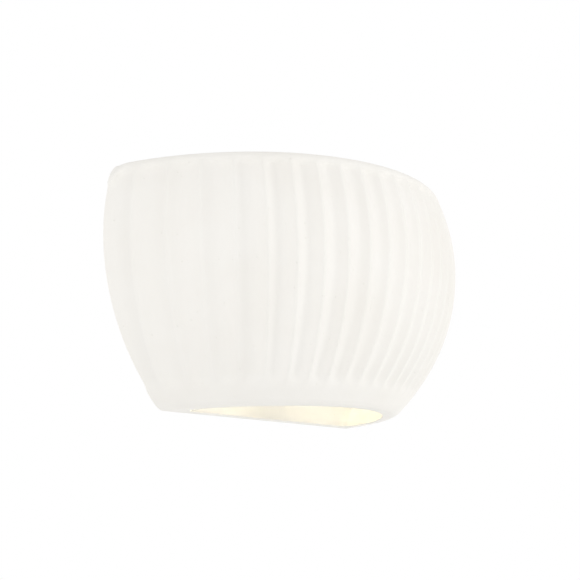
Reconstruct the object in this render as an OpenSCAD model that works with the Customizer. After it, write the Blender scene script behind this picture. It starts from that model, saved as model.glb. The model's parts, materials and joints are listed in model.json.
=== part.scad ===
// Up-and-down wall lamp: a fluted plaster bowl held on a steel strap by two knurled nuts,
// with a capsule bulb standing in a ceramic holder inside it.
// Millimetres. X runs to the right, Y into the wall, Z up. The wall is the plane y = 0.
// The origin is the middle of the strap, on the wall.

/* [Shade] */
// Height of the plaster bowl
shade_h = 145; // [135:1:155]
// Height of the mount above the bowl's bottom edge
mount_h = 70; // [64:1:76]
// Radius of the bowl at its belly, seen from above
belly_r = 151; // [140:1:165]
// How far the centre of that circle lies behind the wall
plan_behind = 20; // [10:1:30]
// Height of the belly above the bottom edge
belly_z = 98; // [90:1:104]
// Vertical half axis of the belly's curve
belly_v = 136.5; // [128:0.5:150]
// Wall of the bowl
wall_t = 6; // [5:0.5:8]
// Thickness of the flat back of the bowl
back_t = 6.5; // [5:0.5:9]
// Outer rounding of the top rim
rim_round = 4.3; // [2:0.1:4.6]
// Height of the rounded shoulders that end the top rim at the wall
shoulder_drop = 12; // [6:0.5:16]
// How far those shoulders step in at the top
shoulder_in = 6; // [4:0.5:8]
// Length of a shoulder along the rim
shoulder_l = 9; // [5:0.5:16]
// Inner rounding of the top rim
rim_inner = 1.4; // [0.5:0.1:1.5]
// Outer rounding of the bottom edge
foot_round = 3; // [1:0.1:3.5]
// Radius of the inner corners where the wall meets the back
corner_r = 9; // [4:0.5:14]

/* [Flutes] */
// Depth of a flute
flute_depth = 2.6; // [0.5:0.1:3.4]
// Angle from ridge to ridge at the front
flute_pitch = 5.55; // [5:0.05:6.5]
// How much the flutes widen towards the wall
flute_growth = 0.0073; // [0:0.0001:0.01]
// Softness of the ridges, where 0 is sharp
flute_soft = 0.22; // [0.1:0.01:0.5]
// Height of the smooth band under the flutes
foot_band = 9; // [4:1:20]
// Height over which the flutes fade in above that band
foot_fade = 8; // [5:1:25]
// Height over which the flutes fade out under the top rim
rim_fade = 2.5; // [2:0.5:10]

/* [Wall strap] */
// Thickness of the strap
strap_t = 1.5; // [1.2:0.1:2]
// Height of the strap
strap_h = 22; // [20:1:26]
// Strap beyond each stud
strap_end = 9; // [7:1:12]
// Distance between the studs
stud_spacing = 114; // [110:1:124]
// Distance between the slots for the wall screws
slot_spacing = 60; // [54:1:62]
// Length of a slot, end to end
slot_len = 14; // [10:1:16]
// Width of a slot
slot_w = 4.8; // [4.2:0.1:5.5]
// Diameter of the cable hole
cable_d = 14; // [10:1:16]
// Space round the strap in the back of the bowl
strap_play = 0.8; // [0.3:0.1:1.5]

/* [Studs and nuts] */
// Thread diameter of the studs
stud_d = 4; // [3:0.5:5]
// Length of a stud in front of the strap
stud_len = 18; // [17:0.5:22]
// Diameter of a stud's flush head
stud_head_d = 6.4; // [6:0.1:8]
// Thickness of a stud's flush head
stud_head_t = 0.7; // [0.5:0.1:0.9]
// Hole for a stud through the plaster
stud_hole_d = 6; // [5.6:0.1:8]
// Running clearance of a nut on its stud, on the radius
nut_play = 0.05; // [0.02:0.01:0.09]
// Diameter of a knurled nut
nut_d = 12; // [10:0.5:15]
// Height of a knurled nut
nut_h = 7; // [5:0.5:8]
// Diameter of the nut's collar
nut_collar_d = 9.4; // [8:0.1:9.6]
// Number of grooves round a nut
nut_grooves = 18; // [10:1:24]
// Diameter of a washer
washer_d = 11; // [9:0.5:14]
// Thickness of a washer
washer_t = 0.8; // [0.5:0.1:1.2]

/* [Cover over the wiring] */
// Width of the opening in the back of the bowl
service_w = 80; // [78:1:83]
// Height of the opening in the back of the bowl
service_h = 40; // [36:1:42]
// Width of the cover's pan
pan_w = 86; // [84:1:90]
// Height of the cover's pan
pan_h = 46; // [44:1:50]
// Depth of the cover's pan
pan_d = 22; // [21:1:26]
// Corner radius of the pan
pan_r = 4; // [2:0.5:6]
// Sheet of the cover
sheet_t = 1.2; // [0.8:0.1:1.5]
// Height of the cover's flanges
flange_h = 30; // [24:1:36]
// Flange beyond each stud
flange_end = 11; // [8:1:13]
// Thickness of the rubber pads under the flanges
pad_t = 1; // [0.8:0.1:2]

/* [Terminal strip] */
// Distance between the poles
pole_pitch = 10; // [9:0.5:12]
// Height of the strip
strip_h = 17; // [16:0.5:20]
// Depth of the strip
strip_d = 12; // [11:0.5:13]
// Place of the strip's middle pole along X
strip_x = -6; // [-10:1:-4]
// Outer diameter of a brass tube
tube_d = 5; // [4.6:0.1:5.6]
// Bore of a brass tube
tube_bore_d = 3.2; // [2.8:0.1:3.6]
// Diameter of a clamping screw
clamp_d = 2.6; // [2:0.1:2.8]

/* [Leads] */
// Diameter of a lead over its sleeve
lead_d = 2; // [1.6:0.1:2.2]
// Bore of the bush in the cover's bottom
bush_bore_d = 4.8; // [4.6:0.1:5.4]
// Outer diameter of the bush
bush_d = 10; // [9:0.5:12]

/* [Arm and lamp holder] */
// Distance from the cover's front to the bulb's axis
reach = 34; // [32:1:40]
// Width of the arm
arm_w = 20; // [18:1:24]
// Sheet of the arm
arm_t = 1.5; // [1.2:0.1:2]
// Height of the arm's upright leg above its flat leg
arm_leg = 15; // [14:0.5:16]
// Distance from the top of that leg down to the rivets
rivet_down = 6; // [5:0.5:7]
// Inner radius of the arm's bend
arm_bend = 2; // [1:0.5:3]
// Length of the ceramic holder's foot
foot_l = 34; // [33:1:38]
// Thickness of the foot
foot_t = 5; // [4:0.5:6]
// Length of the ceramic tower
tower_l = 19; // [18:0.5:20]
// Width of the ceramic holder
tower_w = 14; // [12:0.5:16]
// Height of the ceramic holder
tower_h = 19; // [18.5:0.5:22]
// Distance between the holder's two screws
holder_spacing = 26; // [25.6:0.1:27]
// Diameter of the holder's screws
holder_screw_d = 3; // [2.5:0.5:3]

/* [Bulb] */
// Distance between the two loop pins
pin_spacing = 9; // [8.5:0.1:9.5]
// Length of a loop pin
pin_len = 15.5; // [14:0.5:16]
// Width of a loop, between the middles of its wires
loop_w = 2.4; // [2:0.1:2.6]
// Thickness of the pin wire
pin_wire_d = 0.8; // [0.6:0.1:0.9]
// Height of the bulb's base
base_h = 13; // [10:1:15]
// Diameter of the bulb's glass
glass_d = 16; // [14:0.5:18]
// Height of the bulb's glass
glass_h = 34; // [30:1:38]
// Wall of the glass
glass_t = 0.9; // [0.6:0.1:1.2]
// Height of the light strips inside
strip_light_h = 22; // [16:1:23]

/* [Hidden] */
$fn = 48;

plaster = [0.95, 0.94, 0.91];
steel = [0.72, 0.73, 0.75];
white_steel = [0.92, 0.92, 0.9];
brass = [0.8, 0.65, 0.3];
ceramic = [0.93, 0.92, 0.88];
rubber = [0.15, 0.15, 0.15];

// How finely the bowl is divided: columns and rows, counted one side of the middle for columns
arc_half = 75;
inner_share = 3;
inner_half = round(arc_half / inner_share);
outer_half = inner_half * inner_share;
wall_rows = 11;
foot_fade_rows = 3;
rim_fade_rows = 2;
round_steps = 4;
hollow_steps = 2;
corner_steps = 4;

// How far a cut reaches past the surfaces that it goes through
cut = 1;

// Places that several pieces share, all along Y unless their name says otherwise
strap_front = -strap_t;
back_front = -back_t;
flange_back = back_front - pad_t;
flange_front = flange_back - sheet_t;
pan_front = flange_back - pan_d;
pan_inner = pan_front + sheet_t;
washer_front = flange_front - washer_t;
pan_bottom_z = -pan_h / 2;
bulb_y = pan_front - reach;
arm_top_z = pan_bottom_z + arm_t;
holder_top_z = arm_top_z + tower_h;
strap_l = stud_spacing + 2 * strap_end;
stud_x = stud_spacing / 2;
bore_play = 0.15;

// The bowl: radii in plan, heights counted from its bottom edge
function belly(z, horizontal, vertical) = horizontal * sqrt(1 - pow((z - belly_z) / vertical, 2));
function outer_r(z) = belly(z, belly_r, belly_v);
function inner_r(z) = belly(z, belly_r - wall_t, belly_v - wall_t);
function smooth(t) = let (c = min(1, max(0, t))) c * c * (3 - 2 * c);

// Flutes: flute k lies at this angle from the front, with ridges at k = 0.5, 1.5 and so on
function flute_angle(k) = flute_pitch * k + flute_growth * pow(k, 3);
function flute_slope(k) = flute_pitch + 3 * flute_growth * k * k;
root_steps = 6;
function flute_at(angle, k, steps) =
    steps == 0 ? k : flute_at(angle, k - (flute_angle(k) - angle) / flute_slope(k), steps - 1);
function soft_cos(k) = sqrt(pow(cos(180 * k), 2) + flute_soft * flute_soft) - flute_soft;
function cove(k) = soft_cos(k) / (sqrt(1 + flute_soft * flute_soft) - flute_soft);
function flute_fade(z) =
    smooth((z - foot_band) / foot_fade) * smooth((shade_h - rim_r - z) / rim_fade);

// The roundings never pass these shares of the wall
outer_share = 0.72;
hollow_share = 0.25;
rim_r = min(rim_round, outer_share * wall_t);
rim_in = min(rim_inner, hollow_share * wall_t);
foot_r = min(foot_round, outer_share * wall_t);
shell_top = shade_h - rim_r;
hollow_top = shade_h - rim_in;

// Rings of the outside, from the bottom edge up and over the rim: height and step inwards
outer_rings = concat(
    [for (i = [round_steps:-1:0]) let (a = 90 * i / round_steps)
        [foot_r * (1 - sin(a)), foot_r * (1 - cos(a))]],
    [[foot_band, 0]],
    [for (i = [1:foot_fade_rows]) [foot_band + foot_fade * i / foot_fade_rows, 0]],
    [for (i = [1:wall_rows])
        [foot_band + foot_fade + (shell_top - rim_fade - foot_band - foot_fade) * i / wall_rows, 0]],
    [for (i = [1:rim_fade_rows]) [shell_top - rim_fade + rim_fade * i / rim_fade_rows, 0]],
    [for (i = [1:round_steps]) let (a = 90 * i / round_steps)
        [shell_top + rim_r * sin(a), rim_r * (1 - cos(a))]]
);
// Rings of the hollow, from the rim down to the bottom edge: height and step outwards
inner_rings = concat(
    [for (i = [0:hollow_steps]) let (a = 90 * (1 - i / hollow_steps))
        [hollow_top + rim_in * sin(a), rim_in * (1 - cos(a))]],
    [for (i = [1:wall_rows]) [hollow_top * (1 - i / wall_rows), 0]]
);

// Shoulders: towards the wall the rim's rounding grows to its shoulder sizes, by a share from 0 to 1
function shoulder(from_wall) = smooth(1 - from_wall / shoulder_l);
function rim_drop(share) = rim_r + (shoulder_drop - rim_r) * share;
function rim_step(share) = rim_r + (shoulder_in - rim_r) * share;
function ring_z(z, share) =
    z < shell_top ? z * (shade_h - rim_drop(share)) / shell_top
    : shade_h - rim_drop(share) * (shade_h - z) / rim_r;
function ring_r(z, step, share) =
    outer_r(ring_z(z, share)) - step * (z > shell_top ? rim_step(share) / rim_r : 1);

// One ring of the outside: along the arc from the left wall corner to the right one
function outer_ring(z, step) =
    let (
        end_r = ring_r(z, step, 1),
        edge_angle = acos(plan_behind / end_r),
        edge_k = flute_at(edge_angle, edge_angle / flute_pitch, root_steps)
    )
    [for (j = [-outer_half:outer_half])
        let (
            k = edge_k * j / outer_half,
            a = flute_angle(k),
            share = shoulder((edge_angle - abs(a)) * PI / 180 * end_r),
            r = ring_r(z, step, share) - flute_depth * flute_fade(z) * cove(k),
            y = abs(j) == outer_half ? 0 : min(0, plan_behind - r * cos(a))
        )
        [r * sin(a), y, ring_z(z, share)]];

// One ring of the hollow: from the left end of the flat back round to the right end of it
function inner_ring(z, step) =
    let (
        r = inner_r(z) + step,
        back = back_t - step,
        cy = plan_behind + back + corner_r,
        cx = sqrt(pow(r - corner_r, 2) - cy * cy),
        turn = atan2(cx, cy)
    )
    concat(
        [for (i = [0:corner_steps - 1]) let (a = 180 - (180 - turn) * i / corner_steps)
            [-cx - corner_r * sin(a), -back - corner_r - corner_r * cos(a), z]],
        [for (i = [-inner_half:inner_half]) let (a = turn * i / inner_half)
            [r * sin(a), plan_behind - r * cos(a), z]],
        [for (i = [1:corner_steps]) let (a = turn + (180 - turn) * i / corner_steps)
            [cx + corner_r * sin(a), -back - corner_r - corner_r * cos(a), z]]
    );

outer_n = 2 * outer_half + 1;
inner_n = 2 * inner_half + 1 + 2 * corner_steps;
outer_count = len(outer_rings);
inner_count = len(inner_rings);
function out_id(ring, j) = ring * outer_n + j;
function in_id(ring, j) = outer_count * outer_n + ring * inner_n + j % inner_n;

// The annulus that closes the bowl at the top or at the bottom, seen from above
function annulus(top, o_ring, i_ring) =
    let (
        faces = concat(
            [for (i = [0:2 * inner_half - 1]) concat(
                [in_id(i_ring, corner_steps + i), in_id(i_ring, corner_steps + i + 1)],
                [for (s = [inner_share:-1:0]) out_id(o_ring, i * inner_share + s)])],
            [for (c = [0:corner_steps - 1])
                [in_id(i_ring, c), in_id(i_ring, c + 1), out_id(o_ring, 0)]],
            [for (c = [inner_n - 1 - corner_steps:inner_n - 2])
                [in_id(i_ring, c), in_id(i_ring, c + 1), out_id(o_ring, outer_n - 1)]],
            [[in_id(i_ring, inner_n - 1), in_id(i_ring, 0), out_id(o_ring, 0), out_id(o_ring, outer_n - 1)]]
        )
    )
    top ? faces : [for (f = faces) [for (n = [len(f) - 1:-1:0]) f[n]]];

module bowl() {
    points = concat(
        [for (ring = outer_rings) each outer_ring(ring[0], ring[1])],
        [for (ring = inner_rings) each inner_ring(ring[0], ring[1])]
    );
    outside = [for (i = [0:outer_count - 2], j = [0:outer_n - 2])
        [out_id(i, j), out_id(i + 1, j), out_id(i + 1, j + 1), out_id(i, j + 1)]];
    rear = [for (i = [0:outer_count - 2])
        [out_id(i, outer_n - 1), out_id(i + 1, outer_n - 1), out_id(i + 1, 0), out_id(i, 0)]];
    inside = [for (i = [0:inner_count - 2], j = [0:inner_n - 1])
        [in_id(i, j + 1), in_id(i, j), in_id(i + 1, j), in_id(i + 1, j + 1)]];
    polyhedron(points, concat(
        outside, rear, inside,
        annulus(true, outer_count - 1, 0),
        annulus(false, 0, inner_count - 1)
    ));
}

// A plate of thickness t lying in the wall's plane, from y = back towards the room
module upright(back, t) {
    translate([0, back, 0]) rotate([90, 0, 0]) linear_extrude(t) children();
}

// A round bar along Y, from y = back towards the room
module bar_y(back, l, d) {
    translate([0, back, 0]) rotate([90, 0, 0]) cylinder(h = l, d = d);
}

module rounded_rect(w, h, r) {
    square([w - 2 * r, h], center = true);
    square([w, h - 2 * r], center = true);
    for (x = [-1, 1], z = [-1, 1]) translate([x * (w / 2 - r), z * (h / 2 - r)]) circle(r);
}

module slot_2d(l, w) {
    square([l - w, w], center = true);
    for (x = [-1, 1]) translate([x * (l - w) / 2, 0]) circle(d = w);
}

module at_studs() {
    for (x = [-stud_x, stud_x]) translate([x, 0, 0]) children();
}

module shade() {
    color(plaster) difference() {
        translate([0, 0, -mount_h]) bowl();
        // opening behind the cover, for the wiring
        upright(cut, back_t + 2 * cut) rounded_rect(service_w, service_h, pan_r);
        // pocket for the strap
        upright(cut, cut + strap_t + strap_play / 2)
            square([strap_l + 2 * strap_play, strap_h + 2 * strap_play], center = true);
        at_studs() bar_y(cut, back_t + 2 * cut, stud_hole_d);
    }
}

// Steel strap on the wall
strap_r = 3;
module wall_bracket() {
    color(steel) difference() {
        upright(0, strap_t) difference() {
            rounded_rect(strap_l, strap_h, strap_r);
            circle(d = cable_d);
            for (x = [-1, 1]) translate([x * slot_spacing / 2, 0]) slot_2d(slot_len, slot_w);
            for (x = [-1, 1]) translate([x * stud_x, 0]) circle(d = stud_d);
        }
        at_studs() bar_y(stud_head_t, 2 * stud_head_t, stud_head_d);
    }
}

module bracket_studs() {
    tip = 0.5;
    color(steel) at_studs() {
        bar_y(0, stud_head_t, stud_head_d);
        bar_y(-stud_head_t, strap_t - stud_head_t + stud_len - tip, stud_d);
        translate([0, strap_front - stud_len + tip, 0]) rotate([90, 0, 0])
            cylinder(h = tip, d1 = stud_d, d2 = stud_d - 2 * tip);
    }
}

// Rubber pads between the plaster and the flanges
module flange_pads() {
    pad_w = 16;
    pad_r = 2;
    margin = 2;
    color(rubber) at_studs() upright(back_front, pad_t) difference() {
        rounded_rect(pad_w, flange_h - 2 * margin, pad_r);
        circle(d = stud_hole_d);
    }
}

// White steel pan over the wiring, with a flange each side
bush_x = strip_x - pole_pitch / 2;
bush_y = (pan_inner + flange_back) / 2;
bush_lip = 1.3;
bush_neck_d = bush_d - 2 * bush_lip;
rivet_d = 3.2;
rivet_x = 5;
rivet_z = arm_top_z + arm_leg - rivet_down;
fixing_d = 2.5;
fixing_x = strip_x + pole_pitch / 2;
earth_x = 26;
earth_d = 4;
module gear_cover() {
    flange_r = 3;
    stud_play = 0.5;
    span = stud_spacing + 2 * flange_end;
    color(white_steel) difference() {
        union() {
            upright(flange_back, pan_d) rounded_rect(pan_w, pan_h, pan_r);
            upright(flange_back, sheet_t) rounded_rect(span, flange_h, flange_r);
        }
        upright(flange_back + cut, pan_d + cut - sheet_t)
            rounded_rect(pan_w - 2 * sheet_t, pan_h - 2 * sheet_t, pan_r - sheet_t);
        at_studs() bar_y(flange_back + cut, sheet_t + 2 * cut, stud_d + 2 * stud_play);
        translate([bush_x, bush_y, pan_bottom_z - cut]) cylinder(h = sheet_t + 2 * cut, d = bush_neck_d);
        for (x = [-rivet_x, rivet_x])
            translate([x, 0, rivet_z]) bar_y(pan_inner + cut, sheet_t + 2 * cut, rivet_d);
        translate([fixing_x, 0, 0]) bar_y(pan_inner + cut, sheet_t + 2 * cut, fixing_d);
        translate([earth_x, 0, 0]) bar_y(pan_inner + cut, sheet_t + 2 * cut, earth_d);
    }
}

module washer() {
    upright(flange_front, washer_t) difference() {
        circle(d = washer_d);
        circle(d = stud_d + 2 * bore_play);
    }
}

// Knurled nut: a collar against the washer, then the grooved grip
module knurled_nut() {
    collar_h = 1.5;
    chamfer = 0.6;
    groove_d = 1.1;
    bore = stud_d / 2 + nut_play;
    translate([0, washer_front, 0]) rotate([90, 0, 0]) difference() {
        rotate_extrude() polygon([
            [bore, 0], [nut_collar_d / 2, 0], [nut_collar_d / 2, collar_h],
            [nut_d / 2 - chamfer, collar_h], [nut_d / 2, collar_h + chamfer],
            [nut_d / 2, nut_h - chamfer], [nut_d / 2 - chamfer, nut_h], [bore, nut_h]
        ]);
        for (i = [0:nut_grooves - 1]) rotate(360 * i / nut_grooves)
            translate([nut_d / 2 + groove_d / 4, 0, collar_h]) cylinder(h = nut_h, d = groove_d);
    }
}

module washer_left() { color(steel) translate([-stud_x, 0, 0]) washer(); }
module washer_right() { color(steel) translate([stud_x, 0, 0]) washer(); }
module nut_left() { color(brass) translate([-stud_x, 0, 0]) knurled_nut(); }
module nut_right() { color(brass) translate([stud_x, 0, 0]) knurled_nut(); }

// Terminal strip on the inside of the cover's front
strip_back = pan_inner + strip_d;
tube_y = pan_inner + strip_d / 2;
tube_sink = 0.5;
tube_l = strip_h - 2 * tube_sink;
clamp_z = strip_h / 4;
clamp_lip = 0.7;
clamp_head_d = clamp_d + 2 * clamp_lip;
clamp_head_t = 1.6;
head_sink = 1;
head_play = 0.2;
module at_poles() {
    for (i = [-1:1]) translate([strip_x + i * pole_pitch, 0, 0]) children();
}
module at_clamps() {
    at_poles() for (z = [-clamp_z, clamp_z]) translate([0, 0, z]) children();
}

module terminal_body() {
    notch_w = 1;
    notch_d = 4;
    strip_w = 3 * pole_pitch - notch_w;
    strip_r = 1.5;
    color([0.93, 0.93, 0.9]) difference() {
        translate([strip_x, 0, 0]) upright(strip_back, strip_d) rounded_rect(strip_w, strip_h, strip_r);
        for (x = [-0.5, 0.5])
            translate([strip_x + x * pole_pitch - notch_w / 2, strip_back - notch_d, -strip_h / 2 - cut])
                cube([notch_w, notch_d + cut, strip_h + 2 * cut]);
        at_poles() translate([0, tube_y, -strip_h / 2 - cut]) cylinder(h = strip_h + 2 * cut, d = tube_d);
        at_clamps() bar_y(strip_back + cut, strip_back + cut - tube_y, clamp_head_d + 2 * head_play);
        translate([fixing_x, 0, 0]) bar_y(strip_back + cut, strip_d + 2 * cut, fixing_d);
    }
}

module terminal_inserts() {
    color(brass) difference() {
        at_poles() translate([0, tube_y, -tube_l / 2]) cylinder(h = tube_l, d = tube_d);
        at_poles() translate([0, tube_y, -tube_l / 2 - cut]) cylinder(h = tube_l + 2 * cut, d = tube_bore_d);
        at_clamps() bar_y(tube_y + tube_d / 2 + cut, tube_d / 2 + cut, clamp_d);
    }
}

// Cheese-head screw along Y with a straight drive slot: head, then shank towards the room
module slotted_screw(back, head_d, head_t, d, l) {
    slot = head_d / 6;
    difference() {
        union() {
            bar_y(back, head_t, head_d);
            bar_y(back - head_t, l, d);
        }
        translate([-head_d, back - head_t / 2, -slot / 2]) cube([2 * head_d, head_t, slot]);
    }
}

module terminal_screws() {
    // the tips stand just clear of a lead lying in the tube
    tip_y = tube_y + lead_gap;
    back = strip_back - head_sink;
    color(steel) at_clamps()
        slotted_screw(back, clamp_head_d, clamp_head_t, clamp_d, back - clamp_head_t - tip_y);
}

module terminal_fixing_screw() {
    head_t = 1.8;
    head_d = 5;
    color(steel) translate([fixing_x, 0, 0])
        slotted_screw(strip_back + head_t, head_d, head_t, fixing_d, strip_d + sheet_t);
}

// Earth post: ring terminal and toothed washer clamped by a screw tapped into the cover
earth_ring_t = 0.8;
earth_washer_t = 0.7;
earth_ring_d = 8;
earth_barrel_d = 3.6;
earth_barrel_l = 6;
earth_neck_l = 1;
earth_barrel_z = -earth_ring_d / 2 - earth_neck_l;
module earth_ring() {
    neck_w = 3;
    neck_sink = 1.5;
    color(brass) translate([earth_x, 0, 0]) difference() {
        union() {
            bar_y(pan_inner + earth_ring_t, earth_ring_t, earth_ring_d);
            translate([-neck_w / 2, pan_inner, earth_barrel_z - neck_sink])
                cube([neck_w, earth_ring_t, earth_neck_l + 2 * neck_sink]);
            translate([0, pan_inner + earth_barrel_d / 2, earth_barrel_z - earth_barrel_l])
                cylinder(h = earth_barrel_l, d = earth_barrel_d);
        }
        bar_y(pan_inner + earth_ring_t + cut, earth_ring_t + 2 * cut, earth_d);
        translate([0, pan_inner + earth_barrel_d / 2, earth_barrel_z - earth_barrel_l - cut])
            cylinder(h = earth_barrel_l, d = lead_d + 2 * lead_play);
    }
}

module earth_washer() {
    teeth = 8;
    tooth_gap_d = 1.6;
    outer_d = 7.6;
    color(steel) translate([earth_x, 0, 0]) upright(pan_inner + earth_ring_t + earth_washer_t, earth_washer_t)
        difference() {
            circle(d = outer_d);
            circle(d = earth_d);
            for (i = [0:teeth - 1]) rotate(360 * (i + 0.5) / teeth)
                translate([outer_d / 2, 0]) circle(d = tooth_gap_d, $fn = 24);
        }
}

module earth_screw() {
    head_t = 2.2;
    head_d = 7;
    tail = 2;
    stack = earth_ring_t + earth_washer_t;
    color(brass) translate([earth_x, 0, 0])
        slotted_screw(pan_inner + stack + head_t, head_d, head_t, earth_d, stack + sheet_t + tail);
}

module wire_bush() {
    over = 0.9;
    taper = 0.4;
    color(rubber) translate([bush_x, bush_y, pan_bottom_z]) rotate_extrude() polygon([
        [bush_bore_d / 2, -over], [bush_d / 2 - taper, -over], [bush_d / 2, 0], [bush_neck_d / 2, 0],
        [bush_neck_d / 2, sheet_t], [bush_d / 2, sheet_t], [bush_d / 2 - taper, sheet_t + over],
        [bush_bore_d / 2, sheet_t + over]
    ]);
}

// A lead: a tube of eight sides swept along smooth points
lead_sides = 8;
lead_steps = 5;
function unit(v) = v / norm(v);
// Catmull-Rom curve through the given points, with straight ends
function spline_point(a, b, c, d, t) =
    0.5 * (2 * b + (c - a) * t + (2 * a - 5 * b + 4 * c - d) * t * t + (3 * b - a - 3 * c + d) * t * t * t);
function spline(p) =
    let (q = concat([2 * p[0] - p[1]], p, [2 * p[len(p) - 1] - p[len(p) - 2]]))
    concat(
        [for (i = [1:len(p) - 1], s = [0:lead_steps - 1])
            spline_point(q[i - 1], q[i], q[i + 1], q[i + 2], s / lead_steps)],
        [p[len(p) - 1]]
    );
// Side is a direction that the route never runs along
module lead(route, side) {
    path = spline(route);
    n = len(path);
    tangents = [for (i = [0:n - 1]) unit(path[min(n - 1, i + 1)] - path[max(0, i - 1)])];
    rings = [for (i = [0:n - 1])
        let (u = unit(side - (side * tangents[i]) * tangents[i]), v = cross(tangents[i], u))
        each [for (s = [0:lead_sides - 1]) let (a = 360 * s / lead_sides)
            path[i] + lead_d / 2 * (cos(a) * u + sin(a) * v)]];
    walls = [for (i = [0:n - 2], s = [0:lead_sides - 1]) let (e = (s + 1) % lead_sides)
        [i * lead_sides + s, (i + 1) * lead_sides + s, (i + 1) * lead_sides + e, i * lead_sides + e]];
    polyhedron(rings, concat(
        walls,
        [[for (s = [0:lead_sides - 1]) s]],
        [[for (s = [lead_sides - 1:-1:0]) (n - 1) * lead_sides + s]]
    ));
}

// The two leads drop through the bush, pass under the arm and rise into the ceramic foot
pin_y = pin_spacing / 2;
pin_room = 1;
slot_floor_z = holder_top_z - pin_len - pin_room;
lead_play = 0.1;
lead_gap = lead_d / 2 + lead_play;
// How far a lead reaches into its tube, and its straight stub below the strip
lead_grip = 4;
lead_stub = 1;
tube_end_z = -strip_h / 2;
tube_entry_z = -tube_l / 2 + lead_grip;
// Side is 1 for the lead right of the bush's middle and -1 for the other
module feed(x_start, side, y_end, dip) {
    above = 6;
    spread = 0.7;
    hold = 1.2;
    turn = 6;
    rise = 4.5;
    low_z = pan_bottom_z - dip;
    x_bush = bush_x + side * (bush_bore_d / 2 - lead_gap);
    lead([
        [x_start, tube_y, tube_entry_z],
        [x_start, tube_y, tube_end_z - lead_stub],
        [x_bush + side * spread, bush_y, pan_bottom_z + above],
        [x_bush, bush_y, pan_bottom_z + hold],
        [x_bush, bush_y, pan_bottom_z - hold],
        [x_bush, bush_y, pan_bottom_z - 3 * hold],
        [x_bush * 0.85, bush_y - turn, low_z + lead_d / 2],
        [x_bush * 0.6, (bush_y + y_end) / 2, low_z],
        [x_bush * 0.15, y_end + turn, low_z + lead_d / 2],
        [0, y_end, low_z + rise],
        [0, y_end, pan_bottom_z],
        [0, y_end, slot_floor_z]
    ], [1, 0, 0]);
}
module wire_live() {
    dip = 9;
    color([0.45, 0.25, 0.12]) feed(strip_x, 1, bulb_y + pin_y, dip);
}
module wire_neutral() {
    dip = 13;
    color([0.15, 0.3, 0.65]) feed(strip_x - pole_pitch, -1, bulb_y - pin_y, dip);
}
module wire_earth() {
    bow = 4;
    sag = 7.5;
    barrel_y = pan_inner + earth_barrel_d / 2;
    barrel_z = earth_barrel_z - earth_barrel_l;
    x_start = strip_x + pole_pitch;
    color([0.35, 0.6, 0.2]) lead([
        [x_start, tube_y, tube_entry_z],
        [x_start, tube_y, tube_end_z - lead_stub],
        [x_start + bow, tube_y, tube_end_z - sag + lead_d],
        [(x_start + earth_x) / 2, (tube_y + barrel_y) / 2, tube_end_z - sag],
        [earth_x - bow, barrel_y, tube_end_z - sag + lead_d / 2],
        [earth_x, barrel_y, barrel_z - 2 * lead_stub],
        [earth_x, barrel_y, barrel_z],
        [earth_x, barrel_y, barrel_z + lead_d]
    ], [0, 1, 0]);
}

// Bent arm that carries the lamp holder
arm_margin = 1;
arm_front = bulb_y - foot_l / 2 - arm_margin;
module holder_arm() {
    lead_slot_w = 7;
    bend_out = arm_bend + arm_t;
    leg_back = pan_front;
    color(white_steel) difference() {
        translate([-arm_w / 2, 0, 0]) rotate([90, 0, 90]) linear_extrude(arm_w) union() {
            // upright leg, flat leg and the quarter bend between them
            translate([leg_back - arm_t, pan_bottom_z + bend_out])
                square([arm_t, arm_leg - bend_out + arm_t]);
            translate([arm_front, pan_bottom_z]) square([leg_back - bend_out - arm_front, arm_t]);
            intersection() {
                difference() {
                    translate([leg_back - bend_out, pan_bottom_z + bend_out]) circle(bend_out);
                    translate([leg_back - bend_out, pan_bottom_z + bend_out]) circle(arm_bend);
                }
                translate([leg_back - bend_out, pan_bottom_z]) square(bend_out);
            }
        }
        for (x = [-rivet_x, rivet_x])
            translate([x, 0, rivet_z]) bar_y(leg_back + cut, arm_t + 2 * cut, rivet_d);
        // slot for the leads, and the holder's screw holes
        translate([0, bulb_y, pan_bottom_z - cut]) linear_extrude(arm_t + 2 * cut)
            rotate(90) slot_2d(pin_spacing + lead_slot_w, lead_slot_w);
        at_holder_screws() translate([0, 0, pan_bottom_z - cut])
            cylinder(h = arm_t + 2 * cut, d = holder_screw_d + 2 * bore_play);
    }
}

module at_holder_screws() {
    for (y = [-1, 1]) translate([0, bulb_y + y * holder_spacing / 2, 0]) children();
}

module arm_rivets() {
    head_d = 6;
    head_t = 1.2;
    dome_r = 4.4;
    tail_t = 0.9;
    tail_d = 4.4;
    grip = arm_t + sheet_t;
    color(steel) for (x = [-rivet_x, rivet_x]) translate([x, 0, rivet_z]) {
        bar_y(pan_inner, grip, rivet_d);
        // domed head in front, flat tail behind
        translate([0, pan_front - arm_t, 0]) rotate([90, 0, 0])
            rotate_extrude() intersection() {
                translate([0, head_t - dome_r]) circle(dome_r);
                square([head_d / 2, head_t]);
            }
        bar_y(pan_inner + tail_t, tail_t, tail_d);
    }
}

module holder_body() {
    ceramic_r = 3;
    slot_x = 2.6;
    slot_end = 1.2;
    slot_y = loop_w + 2 * slot_end;
    color(ceramic) difference() {
        translate([0, bulb_y, arm_top_z]) union() {
            linear_extrude(foot_t) rotate(90) rounded_rect(foot_l, tower_w, ceramic_r);
            linear_extrude(tower_h) rotate(90) rounded_rect(tower_l, tower_w, ceramic_r);
        }
        for (y = [-pin_y, pin_y]) translate([0, bulb_y + y, 0]) {
            translate([-slot_x / 2, -slot_y / 2, slot_floor_z])
                cube([slot_x, slot_y, pin_len + pin_room + cut]);
            translate([0, 0, arm_top_z - cut])
                cylinder(h = slot_floor_z - arm_top_z + 2 * cut, d = lead_d + 2 * lead_play);
        }
        at_holder_screws() translate([0, 0, arm_top_z - cut])
            cylinder(h = foot_t + 2 * cut, d = holder_screw_d + 2 * bore_play);
    }
}

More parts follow.
